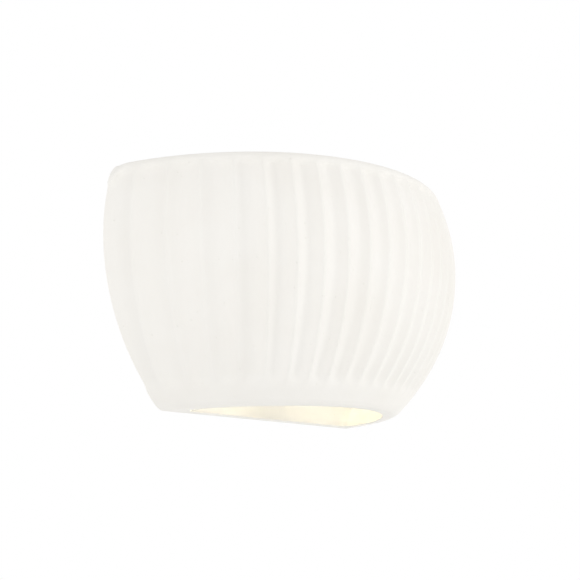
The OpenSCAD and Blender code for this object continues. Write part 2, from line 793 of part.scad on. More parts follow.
// Spring forks: a floor and two leaves that stand either side of a loop pin
module holder_contacts() {
    leaf_t = 0.4;
    leaf_h = 11;
    leaf_over = 0.6;
    pin_play = 0.05;
    inner = pin_wire_d / 2 + pin_play;
    wide = loop_w + 2 * leaf_over;
    color(brass) for (y = [-pin_y, pin_y]) translate([0, bulb_y + y, slot_floor_z]) {
        translate([-inner - leaf_t, -wide / 2, 0]) cube([2 * (inner + leaf_t), wide, leaf_t]);
        for (x = [-inner - leaf_t, inner]) translate([x, -wide / 2, 0]) cube([leaf_t, wide, leaf_h]);
    }
}

module holder_screws() {
    head_t = 1.9;
    head_lip = 1.2;
    head_d = holder_screw_d + 2 * head_lip;
    slot = 0.8;
    tail = 4;
    color(steel) at_holder_screws() difference() {
        union() {
            translate([0, 0, arm_top_z + foot_t]) cylinder(h = head_t, d = head_d);
            translate([0, 0, pan_bottom_z - tail]) cylinder(h = foot_t + arm_t + tail, d = holder_screw_d);
        }
        translate([-head_d, -slot / 2, arm_top_z + foot_t + head_t / 2]) cube([2 * head_d, slot, head_t]);
    }
}

module holder_nuts() {
    nut_wall = 1.25;
    nut_flats = holder_screw_d + 2 * nut_wall;
    thick = 2.4;
    color(steel) at_holder_screws() translate([0, 0, pan_bottom_z - thick]) difference() {
        cylinder(h = thick, d = nut_flats / cos(30), $fn = 6);
        translate([0, 0, -cut]) cylinder(h = thick + 2 * cut, d = holder_screw_d);
    }
}

// Capsule bulb: it stands on the ceramic tower and pulls straight up
glass_z = holder_top_z + base_h;
spigot_h = 2.5;
spigot_d = glass_d - 2 * glass_t;
module bulb_base() {
    collar_h = 6;
    foot_h = base_h - collar_h;
    inset = 1.5;
    base_r = 2.5;
    color([0.9, 0.9, 0.88]) translate([0, bulb_y, holder_top_z]) {
        linear_extrude(foot_h) rotate(90)
            rounded_rect(tower_l - 2 * inset, tower_w - 2 * inset, base_r);
        translate([0, 0, foot_h]) cylinder(h = collar_h, d = glass_d);
        translate([0, 0, base_h]) cylinder(h = spigot_h, d = spigot_d);
    }
}

module bulb_pins() {
    leg = pin_len - loop_w / 2 - pin_wire_d / 2;
    color(steel) for (y = [-pin_y, pin_y]) translate([0, bulb_y + y, holder_top_z]) {
        for (s = [-1, 1]) translate([0, s * loop_w / 2, -leg]) cylinder(h = leg, d = pin_wire_d, $fn = 24);
        translate([0, 0, -leg]) rotate([90, 0, 90]) rotate([0, 0, 180])
            rotate_extrude(angle = 180) translate([loop_w / 2, 0]) circle(d = pin_wire_d, $fn = 24);
    }
}

module bulb_glass() {
    r = glass_d / 2;
    color([0.9, 0.95, 1, 0.4]) translate([0, bulb_y, glass_z]) difference() {
        union() {
            cylinder(h = glass_h - r, r = r);
            translate([0, 0, glass_h - r]) sphere(r);
        }
        translate([0, 0, -cut]) cylinder(h = glass_h - r + cut, d = spigot_d);
        translate([0, 0, glass_h - r]) sphere(d = spigot_d);
    }
}

core_w = 5;
core_over = 1;
module led_core() {
    color([0.95, 0.95, 0.95]) translate([-core_w / 2, bulb_y - core_w / 2, glass_z + spigot_h])
        cube([core_w, core_w, strip_light_h + 2 * core_over]);
}

module led_strips() {
    strip_w = 3.4;
    thick = 0.6;
    color([1, 0.8, 0.3]) translate([0, bulb_y, glass_z + spigot_h + core_over]) for (i = [0:3]) rotate(90 * i)
        translate([core_w / 2, -strip_w / 2, 0]) cube([thick, strip_w, strip_light_h]);
}

shade();
wall_bracket();
bracket_studs();
flange_pads();
gear_cover();
washer_left();
nut_left();
washer_right();
nut_right();
terminal_body();
terminal_inserts();
terminal_screws();
terminal_fixing_screw();
earth_screw();
earth_washer();
earth_ring();
wire_bush();
wire_live();
wire_neutral();
wire_earth();
holder_arm();
arm_rivets();
holder_body();
holder_contacts();
holder_screws();
holder_nuts();
bulb_base();
bulb_pins();
bulb_glass();
led_core();
led_strips();
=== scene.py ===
"""Looks of the wall lamp: a fluted plaster bowl with its strap, cover, lamp holder and bulb.

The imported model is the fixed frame. Everything is in metres, +Z up, with the wall at y = 0.
"""

import json
import math

import bmesh
import bpy
import numpy as np
from mathutils import Matrix, Vector


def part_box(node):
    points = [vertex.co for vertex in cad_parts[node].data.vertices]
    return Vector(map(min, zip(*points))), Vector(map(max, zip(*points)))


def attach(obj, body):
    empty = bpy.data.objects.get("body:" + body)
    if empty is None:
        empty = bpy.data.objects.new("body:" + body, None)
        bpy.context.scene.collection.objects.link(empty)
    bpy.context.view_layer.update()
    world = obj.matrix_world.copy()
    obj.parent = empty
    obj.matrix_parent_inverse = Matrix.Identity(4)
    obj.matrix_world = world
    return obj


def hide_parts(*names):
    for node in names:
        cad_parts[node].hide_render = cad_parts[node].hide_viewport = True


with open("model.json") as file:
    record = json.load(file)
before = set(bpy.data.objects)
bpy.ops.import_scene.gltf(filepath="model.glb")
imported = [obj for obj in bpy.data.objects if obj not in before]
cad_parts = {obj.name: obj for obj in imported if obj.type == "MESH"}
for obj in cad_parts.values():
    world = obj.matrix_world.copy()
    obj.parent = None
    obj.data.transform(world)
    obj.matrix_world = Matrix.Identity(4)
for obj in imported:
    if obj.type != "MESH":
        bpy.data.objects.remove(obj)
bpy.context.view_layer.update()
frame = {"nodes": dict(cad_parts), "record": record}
MM = 0.001

# The bowl, in millimetres: the values of the part's source, with a softer end of the flutes under the rim
SHADE_H = 145.0
BELLY_R = 151.0
BELLY_Z = 98.0
BELLY_V = 136.5
PLAN_BEHIND = 20.0
WALL_T = 6.0
BACK_T = 6.5
RIM_ROUND = 4.3
SHOULDER_DROP = 12.0
SHOULDER_IN = 6.0
SHOULDER_L = 9.0
RIM_INNER = 1.4
FOOT_ROUND = 3.0
CORNER_R = 9.0
FLUTE_DEPTH = 2.6
FLUTE_PITCH = 5.55
FLUTE_GROWTH = 0.0073
FLUTE_SOFT = 0.22
FOOT_BAND = 9.0
FOOT_FADE = 8.0
RIM_FADE = 5.0

# How finely the bowl is divided
FULL_FLUTES = 11.5
FLUTE_COLUMNS = 20
EDGE_COLUMNS = 16
REAR_COLUMNS = 44
WALL_ROWS = 64
FADE_ROWS = 6
HOLLOW_ROWS = 40
ROUND_ROWS = 8
EDGE_ROWS = 3
WHOLE_COLUMNS = int(2 * FULL_FLUTES * FLUTE_COLUMNS) + 1
ARC_POINTS = 200
CORNER_POINTS = 12
FLUTE_TRIES = 8

# Small edges of the cast bowl, and its unevenness, which ends part of a flute before the wall
CAST_EDGE = 0.6
CAST_WAVE = 0.09
WAVE_END = 0.5

# The photograph's camera: its direction and distance from the aim, then its own small turns
CAMERA_AIM = (0.0, -0.055, 0.002)
CAMERA_AZIMUTH = -56.669
CAMERA_ELEVATION = -11.406
CAMERA_DISTANCE = 0.783726
CAMERA_PAN = 1.708
CAMERA_TILT = 0.656
CAMERA_ROLL = -2.896
CAMERA_LENS = 74.78
SENSOR = 36.0
CLIP_NEAR = 0.01
CLIP_FAR = 50.0


def add_object(name, data):
    """An object in the scene that shows this mesh, light or camera."""
    item = bpy.data.objects.new(name, data)
    bpy.context.scene.collection.objects.link(item)
    return item


def place_camera():
    """Looks at the aim from its direction and distance, then pans, tilts and rolls."""
    az = math.radians(CAMERA_AZIMUTH)
    el = math.radians(CAMERA_ELEVATION)
    back = Vector((math.sin(az) * math.cos(el), -math.cos(az) * math.cos(el), math.sin(el)))
    right = Vector((math.cos(az), math.sin(az), 0.0))
    up = back.cross(right)
    turn = Matrix((right, up, back)).transposed()
    turn = Matrix.Rotation(math.radians(CAMERA_PAN), 3, up) @ turn
    turn = Matrix.Rotation(math.radians(CAMERA_TILT), 3, turn.col[0]) @ turn
    turn = Matrix.Rotation(math.radians(CAMERA_ROLL), 3, turn.col[2]) @ turn
    data = bpy.data.cameras.new("camera")
    data.sensor_width = SENSOR
    data.sensor_fit = "HORIZONTAL"
    data.lens = CAMERA_LENS
    data.clip_start = CLIP_NEAR
    data.clip_end = CLIP_FAR
    camera = add_object("camera", data)
    camera.matrix_world = Matrix.Translation(Vector(CAMERA_AIM) + back * CAMERA_DISTANCE) @ turn.to_4x4()
    bpy.context.scene.camera = camera


# Light: an even pale surround, a small key in front on the right and a wider fill on the left
WORLD_LIGHT = 0.715
BACKDROP_WHITE = 1.0
LIGHT_AIM = (0.0, -0.06, 0.0)
KEY_PLACE = (1.0, -1.33, 0.1)
KEY_POWER = 5.9
KEY_SIZE = 0.35
FILL_PLACE = (-1.38, -0.65, 0.55)
FILL_POWER = 5.0
FILL_SIZE = 1.0
FLOOR_Z = -1.1
FLOOR_R = 3.0
FLOOR_SIDES = 96
FLOOR_FADE_FROM = 0.1
FLOOR_FADE_TO = 0.9


def seen_directly(nodes, links):
    """1 for what the camera, a reflection or a view through glass sees, and 0 for light on a surface."""
    path = nodes.new("ShaderNodeLightPath")
    add = nodes.new("ShaderNodeMath")
    add.operation = "ADD"
    links.new(path.outputs["Is Camera Ray"], add.inputs[0])
    links.new(path.outputs["Is Glossy Ray"], add.inputs[1])
    more = nodes.new("ShaderNodeMath")
    more.operation = "ADD"
    more.use_clamp = True
    links.new(add.outputs[0], more.inputs[0])
    links.new(path.outputs["Is Transmission Ray"], more.inputs[1])
    return more.outputs[0]


def light_world():
    """An even light on the surfaces, and a white backdrop for the eye."""
    world = bpy.data.worlds.new("studio")
    world.use_nodes = True
    nodes = world.node_tree.nodes
    links = world.node_tree.links
    nodes.clear()
    lit = nodes.new("ShaderNodeBackground")
    lit.inputs["Color"].default_value = (1.0, 1.0, 1.0, 1.0)
    lit.inputs["Strength"].default_value = WORLD_LIGHT
    seen = nodes.new("ShaderNodeBackground")
    seen.inputs["Color"].default_value = (1.0, 1.0, 1.0, 1.0)
    seen.inputs["Strength"].default_value = BACKDROP_WHITE
    mix = nodes.new("ShaderNodeMixShader")
    out = nodes.new("ShaderNodeOutputWorld")
    links.new(seen_directly(nodes, links), mix.inputs["Fac"])
    links.new(lit.outputs[0], mix.inputs[1])
    links.new(seen.outputs[0], mix.inputs[2])
    links.new(mix.outputs[0], out.inputs["Surface"])
    bpy.context.scene.world = world


def area_light(name, place, size, power):
    """A round soft light that points at the lamp."""
    data = bpy.data.lights.new(name, "AREA")
    data.shape = "DISK"
    data.size = size
    data.energy = power
    light = add_object(name, data)
    light.location = place
    light.rotation_euler = (Vector(LIGHT_AIM) - Vector(place)).to_track_quat("-Z", "Y").to_euler()


def lay_floor():
    """A pale round floor far below the lamp."""
    bpy.ops.mesh.primitive_circle_add(vertices=FLOOR_SIDES, radius=FLOOR_R, fill_type="NGON",
                                      location=(0, 0, FLOOR_Z))
    floor = bpy.context.object
    floor.name = "floor"
    material = bpy.data.materials.new("floor")
    material.use_nodes = True
    nodes = material.node_tree.nodes
    links = material.node_tree.links
    surface = nodes["Principled BSDF"]
    surface.inputs["Base Color"].default_value = (0.93, 0.93, 0.92, 1.0)
    surface.inputs["Roughness"].default_value = 0.9
    # far from the middle the floor fades into the white of the backdrop
    where = nodes.new("ShaderNodeTexCoord")
    length = nodes.new("ShaderNodeVectorMath")
    length.operation = "LENGTH"
    fade = nodes.new("ShaderNodeMapRange")
    fade.interpolation_type = "SMOOTHSTEP"
    fade.inputs["From Min"].default_value = FLOOR_FADE_FROM
    fade.inputs["From Max"].default_value = FLOOR_FADE_TO
    white = nodes.new("ShaderNodeEmission")
    white.inputs["Strength"].default_value = BACKDROP_WHITE
    mix = nodes.new("ShaderNodeMixShader")
    links.new(where.outputs["Object"], length.inputs[0])
    links.new(length.outputs["Value"], fade.inputs["Value"])
    links.new(fade.outputs["Result"], mix.inputs["Fac"])
    links.new(surface.outputs[0], mix.inputs[1])
    links.new(white.outputs[0], mix.inputs[2])
    links.new(mix.outputs[0], nodes["Material Output"].inputs["Surface"])
    floor.data.materials.append(material)


# The band that most values of a noise texture lie in
NOISE_LOW = 0.3
NOISE_HIGH = 0.7


class Finish:
    """A procedural material: one shader, with noise on its colour, roughness and surface."""

    def __init__(self, name, colour, roughness, **settings):
        self.material = bpy.data.materials.new(name)
        self.material.use_nodes = True
        self.nodes = self.material.node_tree.nodes
        self.links = self.material.node_tree.links
        self.shader = self.nodes["Principled BSDF"]
        self.where = self.nodes.new("ShaderNodeTexCoord").outputs["Object"]
        self.normal = None
        self.colour = None
        self.shader.inputs["Base Color"].default_value = (*colour, 1.0)
        self.shader.inputs["Roughness"].default_value = roughness
        for socket, value in settings.items():
            self.shader.inputs[socket.replace("_", " ")].default_value = value

    def noise(self, size, detail=2.0, stretch=None):
        """Noise with features of about that size in metres."""
        texture = self.nodes.new("ShaderNodeTexNoise")
        texture.inputs["Scale"].default_value = 1.0 / size
        texture.inputs["Detail"].default_value = detail
        place = self.where
        if stretch:
            mapping = self.nodes.new("ShaderNodeMapping")
            mapping.inputs["Scale"].default_value = stretch
            self.links.new(place, mapping.inputs["Vector"])
            place = mapping.outputs["Vector"]
        self.links.new(place, texture.inputs["Vector"])
        return texture.outputs["Fac"]

    def cells(self, size, randomness=1.0):
        """Round cells of about that size in metres, in straight rows where the randomness is 0."""
        texture = self.nodes.new("ShaderNodeTexVoronoi")
        texture.inputs["Scale"].default_value = 1.0 / size
        texture.inputs["Randomness"].default_value = randomness
        self.links.new(self.where, texture.inputs["Vector"])
        return texture

    def ranged(self, value, low, high, to_low=0.0, to_high=1.0):
        """Maps a value from one range to another, and holds it at the ends."""
        node = self.nodes.new("ShaderNodeMapRange")
        for socket, number in zip(("From Min", "From Max", "To Min", "To Max"), (low, high, to_low, to_high)):
            node.inputs[socket].default_value = number
        self.links.new(value, node.inputs["Value"])
        return node.outputs["Result"]

    def tint(self, other, factor):
        """Mixes the base colour towards another one by a factor from 0 to 1."""
        mix = self.nodes.new("ShaderNodeMix")
        mix.data_type = "RGBA"
        if self.colour is None:
            mix.inputs["A"].default_value = self.shader.inputs["Base Color"].default_value
        else:
            self.links.new(self.colour, mix.inputs["A"])
        mix.inputs["B"].default_value = (*other, 1.0)
        self.links.new(factor, mix.inputs["Factor"])
        self.colour = mix.outputs["Result"]
        self.links.new(self.colour, self.shader.inputs["Base Color"])

    def rough(self, value, low, high):
        """Lets the roughness follow a noise, from low to high."""
        self.links.new(self.ranged(value, NOISE_LOW, NOISE_HIGH, low, high), self.shader.inputs["Roughness"])

    def bump(self, value, depth):
        """A relief of that depth in metres."""
        node = self.nodes.new("ShaderNodeBump")
        node.inputs["Strength"].default_value = 1.0
        node.inputs["Distance"].default_value = depth
        self.links.new(value, node.inputs["Height"])
        if self.normal is not None:
            self.links.new(self.normal, node.inputs["Normal"])
        self.normal = node.outputs["Normal"]
        self.links.new(self.normal, self.shader.inputs["Normal"])


def plaster():
    f = Finish("plaster", (0.93, 0.911, 0.87), 0.86)
    f.tint((0.907, 0.884, 0.836), f.ranged(f.noise(0.045, 3.0), 0.35, 0.7))
    # tiny pinholes of the casting, dented by a bump; their inside is darkened with painted shade
    holes = f.ranged(f.cells(0.0065).outputs["Distance"], 0.035, 0.075, 1.0, 0.0)
    # painted shade: this tint darkens the inside of each pinhole
    f.tint((0.80, 0.775, 0.72), f.ranged(holes, 0.0, 1.0, 0.0, 0.35))
    f.rough(f.noise(0.004), 0.8, 0.92)
    f.bump(f.noise(0.011, 2.0), 0.00012)
    f.bump(f.noise(0.0007, 2.0), 0.00002)
    f.bump(f.ranged(holes, 0.0, 1.0, 1.0, 0.0), 0.00015)
    return f.material


def white_steel():
    f = Finish("white_powder_coat", (0.87, 0.87, 0.85), 0.45)
    f.tint((0.84, 0.84, 0.815), f.ranged(f.noise(0.02, 2.0), 0.4, 0.7))
    f.rough(f.noise(0.0012), 0.38, 0.52)
    f.bump(f.noise(0.0006, 1.0), 0.000025)
    return f.material


def zinc_steel():
    f = Finish("zinc_plated_steel", (0.70, 0.71, 0.73), 0.34, Metallic=1.0)
    f.tint((0.63, 0.64, 0.665), f.ranged(f.noise(0.0028, 3.0), 0.38, 0.68, 0.0, 0.7))
    f.tint((0.74, 0.73, 0.69), f.ranged(f.noise(0.02, 2.0), 0.5, 0.72, 0.0, 0.35))
    f.rough(f.noise(0.0022, 2.0), 0.3, 0.42)
    f.bump(f.noise(0.00035, 2.0, (1.0, 6.0, 6.0)), 0.000006)
    return f.material


def brass():
    f = Finish("turned_brass", (0.79, 0.60, 0.28), 0.27, Metallic=1.0)
    f.tint((0.62, 0.43, 0.19), f.ranged(f.noise(0.004, 3.0), 0.5, 0.75))
    f.rough(f.noise(0.0009, 2.0), 0.2, 0.38)
    f.bump(f.noise(0.0003, 1.0, (0.6, 6.0, 0.6)), 0.000008)
    return f.material


def tinned_brass():
    f = Finish("tinned_brass", (0.74, 0.73, 0.70), 0.3, Metallic=1.0)
    f.tint((0.66, 0.62, 0.54), f.ranged(f.noise(0.002, 2.0), 0.5, 0.75))
    f.rough(f.noise(0.001), 0.24, 0.42)
    return f.material


def nickel_wire():
    f = Finish("nickel_wire", (0.72, 0.70, 0.66), 0.24, Metallic=1.0)
    f.rough(f.noise(0.0008, 2.0, (4.0, 4.0, 0.5)), 0.18, 0.34)
    return f.material


def black_rubber():
    f = Finish("black_rubber", (0.022, 0.022, 0.023), 0.7)
    f.tint((0.05, 0.048, 0.046), f.ranged(f.noise(0.003, 3.0), 0.5, 0.8))
    f.rough(f.noise(0.0012), 0.62, 0.8)
    f.bump(f.noise(0.0005, 2.0), 0.00002)
    return f.material


def terminal_plastic():
    f = Finish("milky_plastic", (0.83, 0.83, 0.79), 0.4, Subsurface_Weight=0.25, Subsurface_Scale=0.002)
    f.tint((0.79, 0.79, 0.74), f.ranged(f.noise(0.006, 2.0), 0.4, 0.7))
    f.rough(f.noise(0.002), 0.34, 0.48)
    f.bump(f.noise(0.0008, 1.0), 0.00001)
    return f.material


def silicone(name, colour):
    duller = tuple(0.75 * c + 0.03 for c in colour)
    f = Finish(name, colour, 0.48)
    f.tint(duller, f.ranged(f.noise(0.004, 2.0), 0.45, 0.75))
    f.rough(f.noise(0.0015), 0.42, 0.58)
    f.bump(f.noise(0.0009, 1.0), 0.000012)
    return f.material


def white_ceramic():
    f = Finish("steatite", (0.88, 0.87, 0.835), 0.5)
    f.tint((0.80, 0.775, 0.72), f.ranged(f.cells(0.0016).outputs["Distance"], 0.1, 0.22, 0.45, 0.0))
    f.rough(f.noise(0.001), 0.42, 0.6)
    f.bump(f.noise(0.00045, 2.0), 0.00002)
    return f.material


def bulb_plastic():
    f = Finish("bulb_plastic", (0.88, 0.88, 0.86), 0.28)
    f.tint((0.85, 0.85, 0.82), f.ranged(f.noise(0.005, 2.0), 0.4, 0.7))
    f.rough(f.noise(0.002), 0.22, 0.34)
    return f.material


def bulb_glass():
    f = Finish("clear_glass", (0.96, 0.97, 0.98), 0.03, Alpha=0.16)
    f.rough(f.noise(0.006), 0.02, 0.05)
    f.bump(f.noise(0.005, 1.0), 0.00003)
    f.material.surface_render_method = "BLENDED"
    return f.material


# Strength of the lit bulb, whose light falls out of the bowl as in the photograph
PHOSPHOR_LIGHT = 320.0


def led_phosphor():
    f = Finish("led_phosphor", (1.0, 0.80, 0.42), 0.5)
    f.tint((0.98, 0.72, 0.30), f.ranged(f.cells(0.0011, 0.0).outputs["Distance"], 0.2, 0.5))
    f.shader.inputs["Emission Color"].default_value = (1.0, 0.93, 0.69, 1.0)
    f.shader.inputs["Emission Strength"].default_value = PHOSPHOR_LIGHT
    return f.material


MATERIALS = {
    "plaster": plaster(),
    "white_steel": white_steel(),
    "zinc_steel": zinc_steel(),
    "brass": brass(),
    "tinned_brass": tinned_brass(),
    "nickel_wire": nickel_wire(),
    "black_rubber": black_rubber(),
    "terminal_plastic": terminal_plastic(),
    "brown_silicone": silicone("brown_silicone", (0.16, 0.065, 0.03)),
    "blue_silicone": silicone("blue_silicone", (0.03, 0.10, 0.40)),
    "green_silicone": silicone("green_silicone", (0.07, 0.30, 0.05)),
    "white_ceramic": white_ceramic(),
    "bulb_plastic": bulb_plastic(),
    "bulb_glass": bulb_glass(),
    "led_phosphor": led_phosphor(),
}
YELLOW_STRIPE = silicone("yellow_silicone", (0.80, 0.62, 0.05))
SLOTS = {p["node"]: p["material_slot"] for p in frame["record"]["subparts"]}
BODIES = {n: body for body, nodes in frame["record"]["behaviour"]["bodies"].items() for n in nodes}


# Where faces meet at more than this angle, in degrees, the edge looks sharp
SHARP_ANGLE = 34.0
CUT_SHARP_ANGLE = 30.0
ROUND_SHARP_ANGLE = 40.0
GLASS_SHARP_ANGLE = 50.0


def shade_smooth(mesh, angle):
    mesh.polygons.foreach_set("use_smooth", [True] * len(mesh.polygons))
    mesh.set_sharp_from_angle(angle=math.radians(angle))


def stand_for(name, mesh, node, smooth=SHARP_ANGLE):
    """Makes the mesh a piece that takes a CAD node's place, body and finish."""
    piece = add_object(name, mesh)
    shade_smooth(mesh, smooth)
    if mesh.materials:
        mesh.materials.clear()
    mesh.materials.append(MATERIALS[SLOTS[node]])
    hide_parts(node)
    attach(piece, BODIES[node])
    return piece


# The bowl's shape, in millimetres, with heights counted from its bottom edge
def soft_step(t):
    """Rises smoothly from 0 to 1 while t does."""
    c = np.clip(t, 0.0, 1.0)
    return c * c * (3.0 - 2.0 * c)


def belly(z, horizontal, vertical):
    """Radius of the bowl at a height: an ellipse in the upright plane."""
    return horizontal * np.sqrt(1.0 - ((z - BELLY_Z) / vertical) ** 2)


def flute_angle(k):
    """Angle of flute k in degrees from the front; the flutes widen towards the wall."""
    return FLUTE_PITCH * k + FLUTE_GROWTH * k ** 3


def flute_number(angle):
    """The k whose flute lies at that angle, by Newton's method."""
    k = angle / FLUTE_PITCH
    for _ in range(FLUTE_TRIES):
        k -= (flute_angle(k) - angle) / (FLUTE_PITCH + 3.0 * FLUTE_GROWTH * k * k)
    return k


def cove(k):
    """Depth of a flute across its width: 1 in its middle and 0 on the ridges beside it."""
    s = FLUTE_SOFT
    top = math.sqrt(1.0 + s * s) - s
    return (np.sqrt(np.cos(np.pi * k) ** 2 + s * s) - s) / top


def flute_fade(z):
    """Share of the flutes' depth at a height: none on the band at the foot and on the rim."""
    low = soft_step((z - FOOT_BAND) / FOOT_FADE)
    high = soft_step((SHADE_H - RIM_ROUND - z) / RIM_FADE)
    return float(low * high)


def cast_wave(angle, z):
    """The slight unevenness of a hand-finished casting, as a sum of slow waves."""
    a = np.radians(angle)
    first = np.sin(3.1 * a + 0.031 * z + 0.7) * np.sin(0.043 * z + 1.3 * a)
    second = np.sin(7.3 * a - 0.052 * z + 2.1) * 0.5
    third = np.sin(12.7 * a + 0.09 * z + 4.0) * 0.3
    return CAST_WAVE * (first + second + third)


def shouldered(z, step, share):
    """Height and inward step of a level where the rim has that share, from 0 to 1, of its shoulder."""
    rim_low = SHADE_H - RIM_ROUND
    drop = RIM_ROUND + (SHOULDER_DROP - RIM_ROUND) * share
    inwards = RIM_ROUND + (SHOULDER_IN - RIM_ROUND) * share
    if z <= rim_low:
        return z * (SHADE_H - drop) / rim_low, step
    return SHADE_H - drop * (SHADE_H - z) / RIM_ROUND, step * inwards / RIM_ROUND


def outer_loop(z, step):
    """One level of the outside, from the left wall corner round the front, and back along the wall."""
    end_z, end_step = shouldered(z, step, 1.0)
    end_r = belly(end_z, BELLY_R, BELLY_V) - end_step
    end_angle = math.degrees(math.acos(PLAN_BEHIND / end_r))
    last = flute_number(end_angle)
    whole = np.linspace(-FULL_FLUTES, FULL_FLUTES, WHOLE_COLUMNS)
    side = np.linspace(FULL_FLUTES, last, EDGE_COLUMNS + 1)[1:]
    k = np.concatenate([-side[::-1], whole, side])
    angle = flute_angle(k)
    from_wall = np.radians(end_angle - np.abs(angle)) * end_r
    height, inwards = shouldered(z, step, soft_step(1.0 - from_wall / SHOULDER_L))
    off_wall = soft_step((last - np.abs(k)) / WAVE_END)
    wave = cast_wave(angle, z) * off_wall * float(z > 0.0)
    r = belly(height, BELLY_R, BELLY_V) - inwards - FLUTE_DEPTH * flute_fade(z) * cove(k) + wave
    x = r * np.sin(np.radians(angle))
    y = np.minimum(0.0, PLAN_BEHIND - r * np.cos(np.radians(angle)))
    y[0] = y[-1] = 0.0
    back = np.linspace(x[-1], x[0], REAR_COLUMNS + 2)[1:-1]
    flat = np.zeros(REAR_COLUMNS)
    return np.stack([np.concatenate([x, back]), np.concatenate([y, flat]),
                     np.concatenate([height, flat + end_z])], 1)


def along(points, count):
    """That many points spaced evenly along a line of points, both ends among them."""
    steps = np.linalg.norm(np.diff(points, axis=0), axis=1)
    run = np.concatenate([[0.0], np.cumsum(steps)])
    at = np.linspace(0.0, run[-1], count)
    return np.stack([np.interp(at, run, points[:, 0]), np.interp(at, run, points[:, 1])], 1)


def inner_loop(z, step):
    """One level of the hollow, in step with the outside: its arc, then its flat back."""
    r = belly(z, BELLY_R - WALL_T, BELLY_V - WALL_T) + step
    back = BACK_T - step
    cy = PLAN_BEHIND + back + CORNER_R
    cx = math.sqrt((r - CORNER_R) ** 2 - cy * cy)
    turn = math.atan2(cx, cy)
    half = np.linspace(0.0, 1.0, CORNER_POINTS)
    arc = np.linspace(-turn, turn, ARC_POINTS)
    middle = (math.pi + turn) / 2.0

    def corner(angles):
        return np.stack([cx + CORNER_R * np.sin(angles), -back - CORNER_R - CORNER_R * np.cos(angles)], 1)

    front_half = corner(turn + (middle - turn) * half)
    rear_half = corner(middle + (math.pi - middle) * half)
    flip = np.array([-1.0, 1.0])
    curve = np.stack([r * np.sin(arc), PLAN_BEHIND - r * np.cos(arc)], 1)
    front = np.concatenate([(front_half * flip)[::-1], curve[1:-1], front_half])
    rear = np.concatenate([rear_half, (rear_half * flip)[::-1]])
    loop = np.concatenate([along(front, WHOLE_COLUMNS + 2 * EDGE_COLUMNS),
                           along(rear, REAR_COLUMNS + 2)[1:-1]])
    return np.column_stack([loop, np.full(len(loop), z)])


def bowl_levels():
    """Levels of the whole surface, from the bottom edge up the outside, over the rim and down the hollow."""
    edge = CAST_EDGE
    rim_low = SHADE_H - RIM_ROUND
    quarter = np.linspace(0.0, math.pi / 2.0, ROUND_ROWS + 1)
    short = np.linspace(0.0, math.pi / 2.0, EDGE_ROWS + 1)
    outside = [(FOOT_ROUND * (1.0 - math.sin(a)), FOOT_ROUND * (1.0 - math.cos(a))) for a in quarter[::-1]]
    outside += [(z, 0.0) for z in np.linspace(FOOT_ROUND, rim_low - RIM_FADE, WALL_ROWS)[1:]]
    outside += [(z, 0.0) for z in np.linspace(rim_low - RIM_FADE, rim_low, FADE_ROWS + 1)[1:]]
    outside += [(rim_low + RIM_ROUND * math.sin(a), RIM_ROUND * (1.0 - math.cos(a))) for a in quarter[1:]]
    hollow_top = SHADE_H - RIM_INNER
    inside = [(hollow_top + RIM_INNER * math.sin(a), RIM_INNER * (1.0 - math.cos(a))) for a in short[::-1]]
    inside += [(z, 0.0) for z in np.linspace(hollow_top, edge, HOLLOW_ROWS)[1:]]
    inside += [(edge * (1.0 - math.sin(a)), edge * (1.0 - math.cos(a))) for a in short[1:]]
    return outside, inside


def bowl_mesh():
    """The bowl as one closed surface, before its back is cut."""
    outside, inside = bowl_levels()
    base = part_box("shade")[0].z / MM
    loops = [outer_loop(z, step) for z, step in outside] + [inner_loop(z, step) for z, step in inside]
    count = len(loops[0])
    points = np.concatenate(loops)
    points[:, 2] += base
    rows = len(loops)
    j = np.arange(count)
    following = (j + 1) % count
    faces = []
    for i in range(rows):
        a = i * count
        b = ((i + 1) % rows) * count
        faces.append(np.stack([a + j, a + following, b + following, b + j], 1))
    mesh = bpy.data.meshes.new("plaster_bowl")
    mesh.from_pydata((points * MM).tolist(), [], np.concatenate(faces).tolist())
    mesh.update()
    return mesh


def mesh_from(bm, name):
    """What was built in a bmesh, as a mesh."""
    mesh = bpy.data.meshes.new(name)
    bm.to_mesh(mesh)
    bm.free()
    return mesh


def skin(bm, rings):
    """Closes rings of points to a solid, and gives the faces between them; one point alone is a tip."""
    sides = max(len(ring) for ring in rings)
    between = []
    for low, high in zip(rings, rings[1:]):
        for s in range(sides):
            e = (s + 1) % sides
            corners = [low[s % len(low)], low[e % len(low)], high[e % len(high)], high[s % len(high)]]
            between.append(bm.faces.new(list(dict.fromkeys(corners))))
    for ring in (rings[0][::-1], rings[-1]):
        if len(ring) > 1:
            bm.faces.new(ring)
    return between


def prism(outline, y_back, y_front):
    """A closed block with that outline in the wall's plane, between two depths, in millimetres."""
    bm = bmesh.new()
    skin(bm, [[bm.verts.new((x * MM, y * MM, z * MM)) for x, z in outline] for y in (y_back, y_front)])
    bmesh.ops.recalc_face_normals(bm, faces=bm.faces)
    return mesh_from(bm, "cut")


# Steps of a rounded corner, and sides of a round hole
CORNER_STEPS = 6
HOLE_SIDES = 48


def rounded_outline(w, h, r):
    """A rectangle with rounded corners, about the middle."""
    points = []
    for cx, cz, start in ((1, 1, 0), (-1, 1, 90), (-1, -1, 180), (1, -1, 270)):
        for i in range(CORNER_STEPS + 1):
            a = math.radians(start + 90.0 * i / CORNER_STEPS)
            points.append((cx * (w / 2 - r) + r * math.cos(a), cz * (h / 2 - r) + r * math.sin(a)))
    return points


def circle_outline(x, d):
    """A circle at the height of the middle."""
    turns = [2 * math.pi * i / HOLE_SIDES for i in range(HOLE_SIDES)]
    return [(x + d / 2 * math.cos(a), d / 2 * math.sin(a)) for a in turns]


